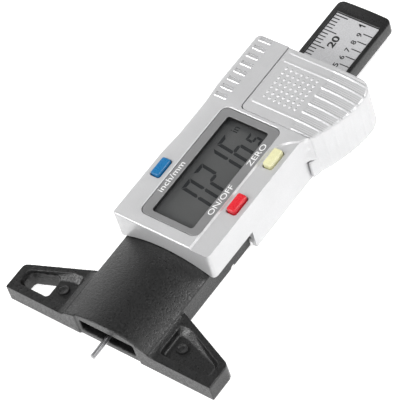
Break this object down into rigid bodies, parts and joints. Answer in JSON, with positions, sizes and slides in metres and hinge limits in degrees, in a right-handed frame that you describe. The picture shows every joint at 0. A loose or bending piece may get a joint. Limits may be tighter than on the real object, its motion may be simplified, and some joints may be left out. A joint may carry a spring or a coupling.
{
  "type": "tire tread gauge",
  "caption": "Digital tread depth gauge: black winged foot, silver housing with display and push buttons, and a sliding scale that drives a steel measuring pin.",
  "frame": {"origin": "under the middle of the gauge's box, on the plane that its foot and back cover rest on", "axes": "+Y along the slide, from the measuring pin to the slide's free end; +Z out of the display; +X towards the on/off and zero buttons"},
  "size_m": [0.06, 0.1124, 0.015],
  "materials": {
    "black_moulding": "fine-grained black moulded plastic",
    "beam_black": "smooth black moulded plastic",
    "silver_paint": "silver painted plastic, satin",
    "silver_back": "silver painted plastic, satin",
    "silver_cover": "silver painted plastic, satin",
    "grey_bezel": "grey printed bezel",
    "clear_window": "clear acrylic",
    "lcd_glass": "dark grey liquid crystal panel",
    "connector_rubber": "layered connector rubber",
    "blue_button": "blue moulded plastic",
    "red_button": "red moulded plastic",
    "yellow_button": "pale yellow moulded plastic",
    "spring_steel": "stamped spring steel",
    "board_laminate": "green glass-fibre laminate",
    "chip_epoxy": "black epoxy",
    "battery_steel": "nickel-plated steel",
    "contact_bronze": "spring bronze",
    "label_print": "light grey printed scale",
    "pin_steel": "polished hardened steel",
    "screw_steel": "zinc-plated steel"
  },
  "bodies": {
    "gauge_body": {"foot_base": "black_moulding", "housing_shell": "silver_paint", "back_cover": "silver_back", "lcd_bezel": "grey_bezel", "lcd_window": "clear_window", "lcd_panel": "lcd_glass", "zebra_strip_left": "connector_rubber", "zebra_strip_right": "connector_rubber", "dome_inch_mm": "spring_steel", "dome_on_off": "spring_steel", "dome_zero": "spring_steel", "circuit_board": "board_laminate", "chip_cover": "chip_epoxy", "battery": "battery_steel", "battery_contact_negative": "contact_bronze", "battery_contact_positive": "contact_bronze", "beam_leaf_spring": "contact_bronze", "back_screw_1": "screw_steel", "back_screw_2": "screw_steel", "back_screw_3": "screw_steel", "back_screw_4": "screw_steel", "foot_screw_left": "screw_steel", "foot_screw_right": "screw_steel", "board_screw_1": "screw_steel", "board_screw_2": "screw_steel"},
    "slide": {"beam": "beam_black", "scale_board": "board_laminate", "scale_label": "label_print", "probe_pin": "pin_steel"},
    "inch_mm_key": {"button_inch_mm": "blue_button"},
    "on_off_key": {"button_on_off": "red_button"},
    "zero_key": {"button_zero": "yellow_button"},
    "battery_lid": {"battery_cover": "silver_cover"}
  },
  "joints": [
    {"name": "beam_slide", "type": "slide", "parent": "gauge_body", "child": "slide", "axis": [0, 1, 0], "range_m": [-0.0199, 0.0055]},
    {"name": "press_inch_mm", "type": "slide", "parent": "gauge_body", "child": "inch_mm_key", "axis": [0, 0, -1], "range_m": [0, 0.0005], "stiffness_N_per_m": 800, "springref_m": -0.0002},
    {"name": "press_on_off", "type": "slide", "parent": "gauge_body", "child": "on_off_key", "axis": [0, 0, -1], "range_m": [0, 0.0005], "stiffness_N_per_m": 800, "springref_m": -0.0002},
    {"name": "press_zero", "type": "slide", "parent": "gauge_body", "child": "zero_key", "axis": [0, 0, -1], "range_m": [0, 0.0005], "stiffness_N_per_m": 800, "springref_m": -0.0002},
    {"name": "battery_cover_slide", "type": "slide", "parent": "gauge_body", "child": "battery_lid", "axis": [0, 1, 0], "range_m": [0, 0.021]}
  ]
}
